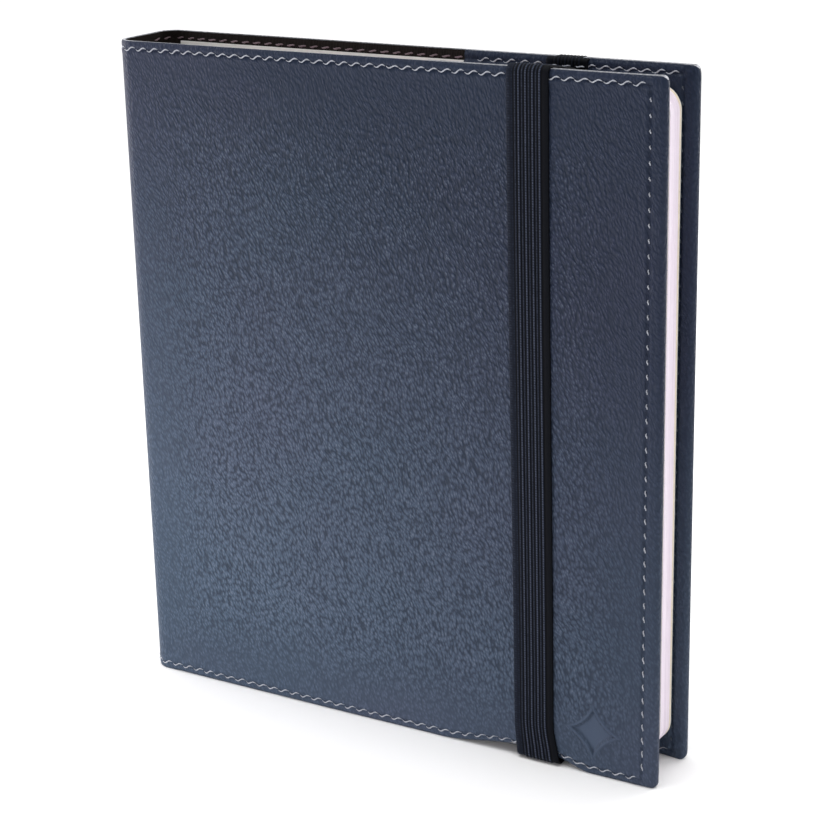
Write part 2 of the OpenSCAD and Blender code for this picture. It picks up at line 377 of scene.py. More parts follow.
def thread_material(name, colour):
    """Satin thread with fine fibres."""
    material, shader = new_material(name, colour, 0.5)
    n = Nodes(material)
    fibres = n.noise(2600, 3).outputs["Fac"]
    low = tuple(0.55 * c for c in colour)
    n.link(n.ramp(fibres, [(0.3, low), (0.7, colour)]), shader.inputs["Base Color"])
    n.link(n.bump(fibres, 0.05 * MM), shader.inputs["Normal"])
    shader.inputs["Sheen Weight"].default_value = 0.2
    return material


def elastic_material():
    """Navy black knitted elastic: the ribs are in the mesh, and the stitches along each rib are here."""
    material, shader = new_material("navy_elastic", (0.006, 0.008, 0.015), 0.7)
    n = Nodes(material)
    split = n.add("ShaderNodeSeparateXYZ")
    n.link(n.place, split.inputs[0])
    crest = n.add("ShaderNodeAttribute", attribute_name="crest").outputs["Fac"]
    along = n.math("ADD", split.outputs[2], split.outputs[1])
    knit = n.math("MULTIPLY", crest, n.math("SINE", n.math("MULTIPLY", along, 2 * math.pi / KNIT_PITCH)))
    fuzz = n.noise(1500, 2).outputs["Fac"]
    loops = n.math("MULTIPLY_ADD", knit, 0.28, n.math("MULTIPLY_ADD", fuzz, 0.9, 0.25))
    # Painted light and shade: the colour is lit on the rib crowns and along the knit, and near black in the
    # grooves between them
    lit = n.math("MULTIPLY", crest, loops)
    tone = n.ramp(lit, [(0.0, (0.0012, 0.0016, 0.003)),
                        (0.3, (0.007, 0.010, 0.019)),
                        (0.8, (0.052, 0.062, 0.092))])
    n.link(tone, shader.inputs["Base Color"])
    n.link(n.bump(loops, 0.09 * MM), shader.inputs["Normal"])
    shader.inputs["Specular IOR Level"].default_value = 0.1
    return material


def paper_edge_material():
    """Edges of the leaves: pinkish white with faint darker lines between them."""
    material, shader = new_material("page_edges", (0.88, 0.80, 0.88), 0.85)
    n = Nodes(material)
    leaf_lines = n.noise(1.0, 2, n.mapped((25, 9000, 25))).outputs["Fac"]
    tone = n.ramp(leaf_lines, [(0.25, (0.74, 0.65, 0.73)),
                               (0.5, (0.89, 0.81, 0.89)),
                               (0.8, (0.95, 0.88, 0.94))])
    n.link(tone, shader.inputs["Base Color"])
    return material


def ruled_page_material():
    """Cream pages with faint ruled lines and columns, as a log of entries has."""
    material, shader = new_material("ruled_page", (0.85, 0.82, 0.78), 0.8)
    n = Nodes(material)
    split = n.add("ShaderNodeSeparateXYZ")
    n.link(n.place, split.inputs[0])
    fibre = n.noise(420, 4).outputs["Fac"]
    paper = n.ramp(fibre, [(0.35, (0.62, 0.59, 0.54)), (0.65, (0.67, 0.64, 0.59))])

    def lines(value, spacing, width):
        place = n.math("FRACT", n.math("DIVIDE", n.math("ADD", value, 1.0), spacing))
        return n.math("LESS_THAN", place, width / spacing)

    rows = lines(split.outputs[2], RULE_PITCH, 0.25 * MM)
    columns = lines(split.outputs[0], COLUMN_PITCH, 0.3 * MM)
    off_middle = n.math("ABSOLUTE", n.math("SUBTRACT", split.outputs[2], HEIGHT / 2))
    body = n.math("LESS_THAN", off_middle, RULED_REACH)
    ink = n.math("MULTIPLY", n.math("MAXIMUM", rows, columns), body)
    n.link(n.mix(ink, paper, (0.26, 0.33, 0.44)), shader.inputs["Base Color"])
    return material


def card_material(name, colour):
    """Matt card or paper with faint fibres."""
    material, shader = new_material(name, colour, 0.7)
    n = Nodes(material)
    fibre = n.noise(700, 4).outputs["Fac"]
    low = tuple(0.92 * c for c in colour)
    n.link(n.ramp(fibre, [(0.3, low), (0.7, colour)]), shader.inputs["Base Color"])
    n.link(n.bump(fibre, 0.03 * MM), shader.inputs["Normal"])
    return material


def board_material():
    """Grey pulp board."""
    material, shader = new_material("grey_board", (0.42, 0.39, 0.34), 0.9)
    n = Nodes(material)
    fibre = n.noise(500, 5).outputs["Fac"]
    n.link(n.ramp(fibre, [(0.3, (0.30, 0.28, 0.25)), (0.7, (0.50, 0.47, 0.42))]), shader.inputs["Base Color"])
    n.link(n.bump(fibre, 0.08 * MM), shader.inputs["Normal"])
    return material


LEATHER = leather_material()
CUT_EDGE = cut_edge_material()
LINING = lining_material()
THREAD = thread_material("pale_thread", (0.44, 0.46, 0.52))
# Painted shade: the flap's fore-edge stitches are the pale thread painted dark slate
FLAP_THREAD_PAINTED_SHADE = thread_material("slate_thread", (0.05, 0.065, 0.09))
LINING_THREAD = thread_material("mauve_thread", (0.20, 0.13, 0.15))
ELASTIC = elastic_material()
PAGE_EDGE = paper_edge_material()
PAGE = ruled_page_material()
CARD = card_material("card", (0.86, 0.85, 0.82))
CREAM = card_material("cream_paper", (0.88, 0.78, 0.64))
BOARD = board_material()


# ---- Shape of a cover ----
# Both covers are drawn as the front one, in (x, z, depth). Depth goes inwards from the outer face.
def band_press(x, left_reach, right_reach):
    """1 under the band, and less with distance on both sides of it."""
    left = (BAND_X - BAND_W / 2 - x) / left_reach
    right = (x - BAND_X - BAND_W / 2) / right_reach
    return smooth_step(1 - np.maximum(0, np.maximum(left, right)))


def front_edges(x, z):
    """Height of a point once the band has pulled the lower edge up and the upper edge down a little,
    and how far that edge curls in."""
    low_near = np.clip(1 - z / (30 * MM), 0, 1) ** 2
    side = np.clip((x - BAND_X) / BAND_W + 0.5, 0, 1)
    lift = (3.1 - 0.8 * side) * MM * band_press(x, 30 * MM, 14 * MM)
    high_near = np.clip(1 - (HEIGHT - z) / (14 * MM), 0, 1) ** 2
    drop = 0.55 * MM * smooth_step((BAND_W / 2 - np.abs(x - BAND_X + BAND_LEAN)) / (1.4 * MM))
    curl = 0.45 * lift * np.clip(1 - z / (9 * MM), 0, 1) ** 2 + 0.9 * drop * np.clip(high_near * 1.2, 0, 1)
    return z + lift * low_near - drop * high_near, curl


def cover_shape(x, z, depth, front):
    """Settles points of a flat cover: round corners, thin edges, the band's pull, and soft waves."""
    x, z, depth = np.broadcast_arrays(x, z, depth)
    past = np.clip(x - (FORE_X - CORNER_R), 0, CORNER_R * 0.999)
    cut = CORNER_R - np.sqrt(CORNER_R**2 - past**2)
    edge = np.minimum(z, HEIGHT - z)
    z = z + np.where(z < HEIGHT / 2, 1, -1) * cut * np.clip(1 - edge / (20 * MM), 0, 1)
    on_panel = smooth_step((x - HINGE_X) / (6 * MM))
    near_fold = smooth_step((x - (FORE_X - 9 * MM)) / (7 * MM))
    layer = np.clip(depth / STACK, 0, 1)
    pinch = np.clip(1 - edge / (6 * MM), 0, 1) ** 2 * on_panel * (1 - 0.6 * near_fold)
    roll = np.clip(1 - edge / (2.9 * MM), 0, 1) ** 1.6 * (0.35 + 0.65 * on_panel)
    depth = depth - pinch * layer * 1.15 * MM + roll * (1 - layer) * 0.75 * MM
    away = smooth_step((FORE_X - x) / (30 * MM)) * smooth_step((x - HINGE_X) / (40 * MM))
    wave = np.sin(x * 41 + 0.7) * np.sin(z * 27 + 1.3) + 0.5 * np.sin(x * 83 + z * 36)
    depth = depth + 0.13 * MM * wave * away
    if front:
        z, curl = front_edges(x, z)
        depth = depth + curl
    return x, z, depth


def in_book(x, z, depth, front):
    """Points of a cover in the row frame."""
    x, z, depth = cover_shape(x, z, depth, front)
    if front:
        return np.stack([x, FRONT_Y + depth, z], -1)
    out = np.maximum(x - HINGE_X, 0)
    panel = (x > HINGE_X).astype(float)
    turned_x = np.minimum(x, HINGE_X) + out * math.cos(LEAN) - panel * depth * math.sin(LEAN)
    turned_y = BACK_Y - out * math.sin(LEAN) - depth * np.where(panel > 0, math.cos(LEAN), 1)
    return np.stack([turned_x, turned_y, z], -1)


def spread(values, low, high, parts):
    """The same list, with every step between low and high cut into parts."""
    made = []
    for a, b in zip(values, values[1:]):
        inside = low <= min(a, b) and max(a, b) <= high
        made += list(np.linspace(a, b, parts + 1)[:-1]) if inside else [a]
    return made + [values[-1]]


def panel_columns(low_x, first):
    """Columns across a panel from the fold towards low_x, four to each stitch."""
    quarter = PITCH / 4
    near = [FORE_X - FOLD_R - d * MM for d in (0, 0.8, 1.5, 2.1, 2.6, 3.0, 3.3, 3.7, 4.1)]
    steps = int((STITCH_END_X - low_x - 0.3 * MM) / quarter)
    made = near + [STITCH_END_X - i * quarter for i in range(steps + 1)]
    return (made + [low_x])[first:]


def leather_columns(front):
    """The line of the leather from the flap's cut edge, round the fold, along the outside and half way
    across the spine. Each column is (x, depth, normal's x, normal's depth, way along the outside seam)."""
    flap = panel_columns(FLAP_X, 0)[::-1]
    made = [(x, STACK, 0.0, 1.0, x) for x in flap]
    for i in range(1, 8):
        turn = math.pi * i / 8
        made.append((FORE_X - FOLD_R + FOLD_R * math.sin(turn), FOLD_R + FOLD_R * math.cos(turn),
                     math.sin(turn), math.cos(turn), FORE_X))
    outside = panel_columns(HINGE_X, 0)
    if front:
        outside = spread(outside, MOTIF_X - MOTIF_R, MOTIF_X + MOTIF_R, 3)
    made += [(x, 0.0, 0.0, -1.0, x) for x in outside]
    arc_steps = 9
    for i in range(1, arc_steps + 1):
        turn = math.pi / 2 * i / arc_steps
        made.append((HINGE_X - SPINE_R * math.sin(turn), SPINE_R - SPINE_R * math.cos(turn),
                     -math.sin(turn), -math.cos(turn), HINGE_X - SPINE_R * turn))
    flat = SPINE_T / 2 - SPINE_R
    flat_steps = 8
    for i in range(1, flat_steps + 1):
        way = flat * i / flat_steps
        made.append((SPINE_X, SPINE_R + way, -1.0, 0.0, HINGE_X - SPINE_R * math.pi / 2 - way))
    if len(made) % 2 == 0:
        made.pop(1)
    return np.array(made).T


def cover_rows(front):
    """Heights of the rows of points: fine at the seams, and four to each fore-edge stitch."""
    near = [d * MM for d in (0, 0.3, 0.7, 1.2, 1.7, 2.1, 2.4, 2.7, 3.0, 3.3, 3.7, 4.2)]
    quarter = PITCH / 4
    middle = [FORE_LOW_Z + i * quarter for i in range(4 * FORE_COUNT + 1)]
    if front:
        middle = spread(middle, MOTIF_Z - MOTIF_R, MOTIF_Z + MOTIF_R, 3)
    rows = near + middle + [HEIGHT - d for d in near[::-1]]
    if len(rows) % 2 == 0:
        rows.insert(len(rows) // 2, (rows[len(rows) // 2 - 1] + rows[len(rows) // 2]) / 2)
    return np.array(rows)


def stitch_phase(run):
    """0 at a needle hole and half at the middle of a stitch, along a level seam."""
    return (STITCH_END_X - run) / PITCH


def seam_relief(off, phase):
    """Height of the leather beside a seam. off is the distance to the seam, positive towards the edge."""
    hole = 0.5 + 0.5 * np.cos(2 * math.pi * phase)
    dent = -(0.26 + 0.34 * hole) * MM * np.exp(-((off / (0.66 * MM)) ** 2))
    inward = -off
    lean = phase + inward / (6 * MM)
    ridge = 0.5 + 0.5 * np.cos(2 * math.pi * lean)
    pucker = 0.46 * MM * ridge * np.exp(-(((inward - 1.05 * MM) / (0.6 * MM)) ** 2))
    bead = 0.18 * MM * np.exp(-(((off - 1.2 * MM) / (0.7 * MM)) ** 2)) * (0.6 + 0.4 * (1 - hole))
    return dent + pucker + bead


def motif(x, z):
    """A plain four-pointed star pressed into the front cover: its height, and where it is."""
    u = np.abs(x - MOTIF_X) / MOTIF_R
    v = np.abs(z - MOTIF_Z) / MOTIF_R
    inside = 1 - (u**0.72 + v**0.72)
    pressed = smooth_step(inside / 0.16 + 0.2)
    rim = np.exp(-(((inside + 0.12) / 0.10) ** 2))
    return -MOTIF_DEPTH * pressed + 0.22 * MM * rim, np.maximum(pressed, rim)


def band_wrinkles(x, z):
    """Small folds beside the band, where it pulls the upper edge of the front cover down."""
    beside = np.abs(x - BAND_X) - BAND_W / 2
    below = HEIGHT - SEAM_INSET - z
    near = np.exp(-np.maximum(beside, 0) / (6 * MM)) * np.exp(-(((below - 3.5 * MM) / (3.2 * MM)) ** 2))
    folds = np.sin(2 * math.pi * (x + 0.55 * z) / (3.3 * MM))
    folds = folds + 0.5 * np.sin(2 * math.pi * (x - 0.9 * z) / (5.1 * MM))
    return 0.16 * MM * folds * near


def leather_relief(columns, rows, front):
    """Outward height of the leather over its plain shape, and how flat its grain lies, at each point."""
    x, depth, _, normal_d, run = (c[:, None] for c in columns)
    z = rows[None, :]
    edge = np.minimum(z, HEIGHT - z)
    level = seam_relief(SEAM_INSET - edge, stitch_phase(run))
    on_level = smooth_step((FORE_SEAM_X + 1.0 * MM - run) / (1.2 * MM))
    fore_phase = (z - FORE_LOW_Z) / PITCH
    flat_face = (np.abs(normal_d) > 0.99) & (run > FLAP_X)
    fore = seam_relief(run - FORE_SEAM_X, fore_phase) * flat_face
    on_fore = smooth_step((edge - SEAM_INSET + 1.0 * MM) / (1.2 * MM))
    on_panel = 0.35 + 0.65 * smooth_step((run - HINGE_X) / (6 * MM))
    relief = level * on_level * on_panel + fore * on_fore
    relief = relief - 0.32 * MM * np.clip(1 - edge / (0.75 * MM), 0, 1) ** 2
    flap_end = np.where(depth > STACK * 0.9, x - FLAP_X, 1.0)
    relief = relief - 0.25 * MM * np.clip(1 - flap_end / (0.8 * MM), 0, 1) ** 2
    off_edge = np.minimum(edge, np.minimum(FORE_X - x, x - SPINE_X))
    calm = 0.4 * (1 - smooth_step(off_edge / (40 * MM)))
    if front:
        outer = (normal_d < -0.99) & (run > HINGE_X)
        star, star_area = motif(run, z)
        relief = relief + (star + band_wrinkles(run, z)) * outer
        return relief, np.maximum(calm, star_area * outer)
    return relief, calm


def leather_sheet(name, front):
    """The leather of one cover, from the edge of its flap to the middle of the spine."""
    columns, rows = leather_columns(front), cover_rows(front)
    relief, smooth = leather_relief(columns, rows, front)
    x, depth, normal_x, normal_d, _ = (c[:, None] for c in columns)
    outer = in_book(x + normal_x * relief, rows[None, :], depth + normal_d * relief, front)
    few = [c[::2] for c in (x, depth, normal_x, normal_d)]
    inner = in_book(few[0] - few[2] * LEATHER_T, rows[None, ::2], few[1] - few[3] * LEATHER_T, front)
    if not front:
        outer, inner, smooth = outer[:, ::-1], inner[:, ::-1], smooth[:, ::-1]
    made = closed_sheet(name, outer, inner, [LEATHER, CUT_EDGE, CUT_EDGE])
    point_values(made, "smooth", smooth)
    return made


def bend(piece, front):
    """Bakes the piece's placement into its mesh, the same way for both covers."""
    if front:
        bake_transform(piece)
    else:
        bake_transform(piece)


front_leather = leather_sheet("front_cover_sheet", True)
bend(front_leather, True)
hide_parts("front_cover_leather")
back_leather = leather_sheet("back_cover_sheet", False)
bend(back_leather, False)
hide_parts("back_cover_leather", "spine_leather")


# ---- Lining ----
def lining_sheet(name, front):
    """The ribbed lining from under the flap to the middle of the spine."""
    end_x = FLAP_X + LINING_UNDER_FLAP
    step = 1.6 * MM
    xs = np.linspace(end_x, HINGE_X, int((end_x - HINGE_X) / step))
    depths = LEATHER_T + (LINING_DEPTH - LEATHER_T) * smooth_step((xs - HINGE_X) / (9 * MM))
    columns = [(x, depth, 0.0, 1.0, x) for x, depth in zip(xs, depths)]
    inner_r = SPINE_R - LEATHER_T
    for i in range(1, 8):
        turn = math.pi / 2 * i / 7
        columns.append((HINGE_X - inner_r * math.sin(turn), SPINE_R - inner_r * math.cos(turn),
                        math.sin(turn), math.cos(turn), HINGE_X - inner_r * turn))
    flat = SPINE_T / 2 - SPINE_R
    for i in range(1, 7):
        way = flat * i / 6
        columns.append((SPINE_X + LEATHER_T, SPINE_R + way, 1.0, 0.0, HINGE_X - inner_r * math.pi / 2 - way))
    if len(columns) % 2 == 0:
        columns.pop(1)
    x, depth, normal_x, normal_d, _ = (c[:, None] for c in np.array(columns).T)
    near = [d * MM for d in (0.25, 0.8, 1.4, 2.0, 2.4, 2.7, 3.0, 3.5, 4.5, 6.0, 8.0, 11.0)]
    middle = list(np.linspace(15 * MM, HEIGHT - 15 * MM, 31))
    rows = np.array(near + middle + [HEIGHT - d for d in near[::-1]])
    z = rows[None, :]
    edge = np.minimum(z, HEIGHT - z)
    dent = -0.12 * MM * np.exp(-(((edge - SEAM_INSET) / (0.7 * MM)) ** 2))
    face = LINING_T + dent
    inner = in_book(x + normal_x * face, z, depth + normal_d * face, front)
    outer = in_book(x[::2], z[:, ::2], depth[::2], front)
    if not front:
        inner, outer = inner[:, ::-1], outer[:, ::-1]
    piece = closed_sheet(name, inner[::-1], outer[::-1], [LINING, LINING, LINING])
    length = float(columns[0][4] - columns[-1][4])
    bend(piece, front)
    return piece, length


front_lining, front_lining_w = lining_sheet("front_lining_sheet", True)
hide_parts("front_cover_lining")
back_lining, back_lining_w = lining_sheet("back_lining_sheet", False)
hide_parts("back_cover_lining", "spine_lining")


# ---- Stitches ----
def thread_template(length, radius, sway):
    """One stitch of two-ply thread, along X, arched along +Z and swaying along Y, with its ends sunk."""
    rings, sides = 13, 8
    arch, sink = 0.30 * MM, 0.32 * MM
    points, faces = [], []
    for i in range(rings):
        t = i / (rings - 1)
        thick = radius * (0.25 + 0.75 * math.sin(math.pi * min(max(t, 0.02), 0.98)) ** 0.35)
        lift = arch * math.sin(math.pi * t) ** 0.7 - sink
        aside = -sway * math.sin(2 * math.pi * t)
        for k in range(sides):
            turn = 2 * math.pi * k / sides
            reach = thick * (1 + 0.16 * math.cos(2 * (turn - 2.4 * math.pi * t)))
            points.append(((t - 0.5) * length, aside + reach * math.cos(turn), lift + reach * math.sin(turn)))
    for i in range(rings - 1):
        for k in range(sides):
            a, b = i * sides + k, i * sides + (k + 1) % sides
            faces.append((a, a + sides, b + sides, b))
    points += [(-0.5 * length, 0, -sink), (0.5 * length, 0, -sink)]
    first, last = len(points) - 2, len(points) - 1
    top = (rings - 1) * sides
    for k in range(sides):
        after = (k + 1) % sides
        faces.append((first, k, after))
        faces.append((last, top + after, top + k))
    return np.array(points), faces


def seam(name, places, material, sway, seed, length=STITCH_LEN, radius=THREAD_R):
    """Stitches at places, each (centre, along, normal, share of the whole length that shows)."""
    shape, faces = thread_template(length, radius, sway)
    chance = np.random.default_rng(seed)
    points, all_faces = [], []
    for i, (centre, along, normal, share) in enumerate(places):
        side = normal.cross(along)
        tilt = math.radians(math.copysign(5, sway) + chance.normal(0, 2.5))
        direction = along * math.cos(tilt) + side * math.sin(tilt)
        across = normal.cross(direction)
        basis = np.array([direction, across, normal])
        sized = shape * (share * (1 + chance.normal(0, 0.03)), 1, 1)
        points.append(sized @ basis + np.array(centre))
        all_faces += [tuple(v + i * len(shape) for v in f) for f in faces]
    return mesh_object(name, np.concatenate(points), all_faces, [material])


def point(x, z, depth, front):
    """One point of a cover in the row frame."""
    return Vector(in_book(np.array(x), np.array(z), np.array(depth), front).tolist())


def seam_place(at, hint, share=1.0):
    """Centre, direction and normal of a stitch, from a function of the way along the seam."""
    step = 0.4 * MM
    along = (at(step) - at(-step)).normalized()
    normal = (hint - along * hint.dot(along)).normalized()
    return at(0.0), along, normal, share


def outer_way(run):
    """(x, depth, outward normal) of the outside of a cover at a way along its seam."""
    if run >= HINGE_X:
        return run, 0.0, Vector((0, -1, 0))
    turn = (HINGE_X - run) / SPINE_R
    if turn <= math.pi / 2:
        outward = Vector((-math.sin(turn), -math.cos(turn), 0))
        return HINGE_X + SPINE_R * outward.x, SPINE_R + SPINE_R * outward.y, outward
    way = (HINGE_X - run) - SPINE_R * math.pi / 2
    return SPINE_X, SPINE_R + way, Vector((-1, 0, 0))


def mirrored(normal, front):
    """A direction drawn on the front cover, as it is on this cover."""
    return normal if front else Vector((normal.x, -normal.y, normal.z))


def level_places(z, front):
    """Stitches of a top or bottom seam on the outside, from the fore-edge to the middle of the spine."""
    length = STITCH_END_X - HINGE_X + SPINE_R * math.pi / 2 + SPINE_T / 2 - SPINE_R
    places = []
    for i in range(int(length / PITCH)):
        run = STITCH_END_X - (i + 0.5) * PITCH

        def at(step, run=run):
            x, depth, _ = outer_way(run + step)
            return point(x, z, depth, front)

        places.append(seam_place(at, mirrored(outer_way(run)[2], front)))
    return places


def flap_places(z, front):
    """Stitches of a top or bottom seam on the flap, inside the cover."""
    places = []
    for i in range(int((STITCH_END_X - FLAP_X) / PITCH)):
        x = STITCH_END_X - (i + 0.5) * PITCH

        def at(step, x=x):
            return point(x + step, z, STACK, front)

        places.append(seam_place(at, mirrored(Vector((0, 1, 0)), front)))
    return places


def fore_places(front, inside):
    """Stitches beside the fold, on the outside or on the flap."""
    places = []
    for i in range(FORE_COUNT):
        z = FORE_LOW_Z + (i + 0.5) * PITCH

        def at(step, z=z):
            return point(FORE_SEAM_X, z + step, STACK if inside else 0.0, front)

        hint = Vector((0, 1 if inside else -1, 0))
        share = 0.28 if inside else 0.26 + 0.28 * (1 - z / HEIGHT)
        places.append(seam_place(at, mirrored(hint, front), share))
    return places


def lining_way(run):
    """(x, depth, inward normal) of the lining at a way along its seam."""
    inner_r = SPINE_R - LEATHER_T - LINING_T
    if run >= HINGE_X:
        lift = float(smooth_step((run - HINGE_X) / (9 * MM)))
        return run, LEATHER_T + (LINING_DEPTH - LEATHER_T) * lift + LINING_T, Vector((0, 1, 0))
    turn = (HINGE_X - run) / inner_r
    if turn <= math.pi / 2:
        inward = Vector((math.sin(turn), math.cos(turn), 0))
        return HINGE_X - inner_r * inward.x, SPINE_R - inner_r * inward.y, inward
    way = (HINGE_X - run) - inner_r * math.pi / 2
    return HINGE_X - inner_r, SPINE_R + way, Vector((1, 0, 0))


def lining_places(z, front):
    """The underside of a level seam, where it shows on the lining."""
    length = FLAP_X - HINGE_X + (SPINE_R - LEATHER_T) * math.pi / 2 + SPINE_T / 2 - SPINE_R
    places = []
    for i in range(int(length / PITCH) - 1):
        run = FLAP_X - (i + 0.6) * PITCH

        def at(step, run=run):
            x, depth, _ = lining_way(run + step)
            return point(x, z, depth, front)

        places.append(seam_place(at, mirrored(lining_way(run)[2], front)))
    return places


SEAM_LEVELS = {"top": HEIGHT - SEAM_INSET, "bottom": SEAM_INSET}
for cover in ("front", "back"):
    is_front = cover == "front"
    for level, seam_z in SEAM_LEVELS.items():
        sway = SWAY if is_front else -SWAY
        outside = seam(f"{cover}_stitches_{level}", level_places(seam_z, is_front), THREAD, sway, 3)
        bend(outside, is_front)
        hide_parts(f"{cover}_seam_{level}")
        flap_side = seam(f"{cover}_flap_stitches_{level}", flap_places(seam_z, is_front), THREAD, -sway, 4)
        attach(flap_side, f"{cover}_cover")
        lining_side = seam(f"{cover}_lining_stitches_{level}", lining_places(seam_z, is_front), LINING_THREAD,
                           SMALL_SWAY, 5, LINING_STITCH_LEN, LINING_THREAD_R)
        bend(lining_side, is_front)
        if level == "top" and not is_front:
            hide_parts("spine_seams")
    fore = seam(f"{cover}_stitches_fore", fore_places(is_front, False), THREAD, SMALL_SWAY, 6)
    # The flap's fore-edge stitches use the pale thread painted in shade
    flap_fore = seam(f"{cover}_flap_stitches_fore", fore_places(is_front, True), FLAP_THREAD_PAINTED_SHADE, SMALL_SWAY, 7)
    for piece in (fore, flap_fore):
        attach(piece, f"{cover}_cover")
    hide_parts(f"{cover}_seam_fore")


# ---- Elastic band ----
def band_profile():
    """(x, height, painted brightness) across the band's outer face: flat selvages, and rounded ribs in pairs,
    with painted highlights on their crowns and painted shade between them and on the right selvage.
    """
    samples = 8
    left, right = LEFT_SELVAGE, RIGHT_SELVAGE
    rib_w = (BAND_W - left - right) / BAND_RIBS
    low, high = BAND_X - BAND_W / 2, BAND_X + BAND_W / 2
    made = [(low, 0.50, 0.1), (low + 0.15 * MM, 0.74, 0.4), (low + 0.9 * MM, 0.80, 0.45),
            (low + 1.6 * MM, 0.76, 0.3), (low + left - 0.5 * MM, 0.78, 0.45),
            (low + left - 0.15 * MM, 0.62, 0.05)]
    for rib in range(BAND_RIBS):
        for k in range(samples):
            t = (k + 0.5) / samples
            floor = 0.70 if (t < 0.5) == (rib % 2 == 1) else 0.50
            crown = math.sin(math.pi * t)
            painted_brightness = (0.62 if rib % 2 == 0 else 1.0) * crown**3
            made.append((low + left + (rib + t) * rib_w, floor + (1 - floor) * crown**0.6, painted_brightness))
    made += [(high - right + 0.15 * MM, 0.62, 0.0), (high - right + 0.5 * MM, 0.76, 0.05),
             (high - 0.15 * MM, 0.74, 0.05), (high, 0.50, 0.0)]
    return made


def strap(name, path, material, across=None, painted_highlight_share=1.0):
    """A flat strap that follows a path of (y, z) points. Its outer face is on the left of the path.
    across(y, z) gives how much of its width it has at a point, and how far it is moved along X there."""
    path = np.array(path, float)
    share, shift = np.array([across(y, z) if across else (1.0, 0.0) for y, z in path]).T
    way = np.gradient(path, axis=0)
    way /= np.linalg.norm(way, axis=1)[:, None]
    outward = np.stack([-way[:, 1], way[:, 0]], 1)
    profile = band_profile()
    columns, rows = len(profile), len(path)
    top = np.zeros((columns, rows, 3))
    low = np.zeros((columns, rows, 3))
    for i, (x, height, _) in enumerate(profile):
        for face, rise in ((top, height * BAND_T), (low, (1 - height) * 0.35 * BAND_T)):
            face[i, :, 0] = BAND_X + (x - BAND_X) * share + shift
            face[i, :, 1:] = path + outward * rise
    start = columns * rows
    faces = list(grid_faces(columns, rows)) + list(grid_faces(columns, rows, start, flip=True))
    for i in range(columns - 1):
        a, b = i * rows, (i + 1) * rows
        faces.append((b, a, start + a, start + b))
        faces.append((a + rows - 1, b + rows - 1, start + b + rows - 1, start + a + rows - 1))
    last = (columns - 1) * rows
    for j in range(rows - 1):
        faces.append((j, j + 1, start + j + 1, start + j))
        faces.append((last + j + 1, last + j, start + last + j, start + last + j + 1))
    made = mesh_object(name, np.concatenate([top.reshape(-1, 3), low.reshape(-1, 3)]), faces, [material])
    # Each column's painted brightness, the painted highlight of the rib crowns, is stored for the elastic's
    # colour
    point_values(made, "crest", np.repeat([painted_highlight_share * painted_brightness for _, _, painted_brightness in profile], rows))
    return made


def arc(centre, radius, start, end, steps):
    """Points of an arc in (y, z), with angles in degrees from +Y towards +Z."""
    angles = np.radians(np.linspace(start, end, steps))
    return [(centre[0] + radius * math.cos(a), centre[1] + radius * math.sin(a)) for a in angles]


def line(start, end, step=2.0 * MM):
    """Points from start up to, and without, end."""
    length = math.dist(start, end)
    count = max(2, int(length / step))
    return [tuple(np.array(start) + (np.array(end) - np.array(start)) * i / count) for i in range(count)]


def band_path():
    """From the back cover over the top edge, down the front and under the bottom edge to the back cover.
    The path is the band's inner face."""
    back_y = band_high.y
    top_z = HEIGHT + 0.05 * MM
    low_z = band_low.z + BAND_T
    near_y = FRONT_Y - 0.02 * MM
    top_r, low_r = BAND_TOP_R, BAND_LOW_R
    reach = back_y - near_y - top_r
    slack = [i / 12 for i in range(12, 0, -1)]
    path = [(near_y + top_r + reach * t, top_z - BAND_SAG * t**1.2) for t in slack]
    path += arc((near_y + top_r, top_z - top_r), top_r, 90, 180, 10)
    path += line((near_y, top_z - top_r - 1 * MM), (near_y, low_z + low_r + 1 * MM))
    path += arc((near_y + low_r, low_z + low_r), low_r, 180, 270, 8)
    return path + line((near_y + low_r + 1 * MM, low_z), (back_y, low_z)) + [(back_y, low_z)]


def band_across(y, z):
    """The band leans a little towards the spine as it goes up the front, and spreads at the lower fold."""
    behind = float(smooth_step((y - FRONT_Y) / (band_high.y - FRONT_Y)))
    lean = float(smooth_step(z / HEIGHT)) * (1 - behind)
    flare = float(smooth_step(1 - z / (16 * MM)))
    return 1 - 0.06 * behind + 0.09 * flare, (0.15 + 1.6 * flare) * MM - BAND_LEAN * lean


band = strap("elastic_strand", band_path()[::-1], ELASTIC, band_across)
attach(band, "band")
outer_back_y = BACK_Y - (BAND_X - HINGE_X) * math.sin(LEAN)
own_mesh(band)
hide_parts("elastic_band")


def band_end(name, node, top):
    """The sewn end of the band: up the inside of the back cover and over its edge."""
    box_low, box_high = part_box(node)
    inner_y = box_high.y - 0.25 * MM
    outer_y = outer_back_y + 0.05 * MM
    edge_z = HEIGHT - 0.9 * MM
    start_z = HEIGHT - (box_high.z - box_low.z) - 0.2 * MM
    rise = 0.45 * MM
    path = line((inner_y, start_z), (inner_y, edge_z - rise), 0.8 * MM)
    path += arc((inner_y + rise, edge_z - rise), rise, 180, 90, 5)
    path += line((inner_y + rise + 0.3 * MM, edge_z), (outer_y - rise - 0.3 * MM, edge_z), 0.8 * MM)
    path += arc((outer_y - rise, edge_z - rise), rise, 90, 0, 5)
    path += line((outer_y, edge_z - rise - 0.3 * MM), (outer_y, edge_z - 4.2 * MM), 0.8 * MM)
    if not top:
        path = [(y, HEIGHT - z) for y, z in path][::-1]
    # Painted shade: the sewn ends carry about a third of the strand's painted rib highlights
    piece = strap(name, path, ELASTIC, painted_highlight_share=0.35)
    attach(piece, "back_cover")
    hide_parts(node)


band_end("band_end_upper", "band_end_top", True)
band_end("band_end_lower", "band_end_bottom", False)


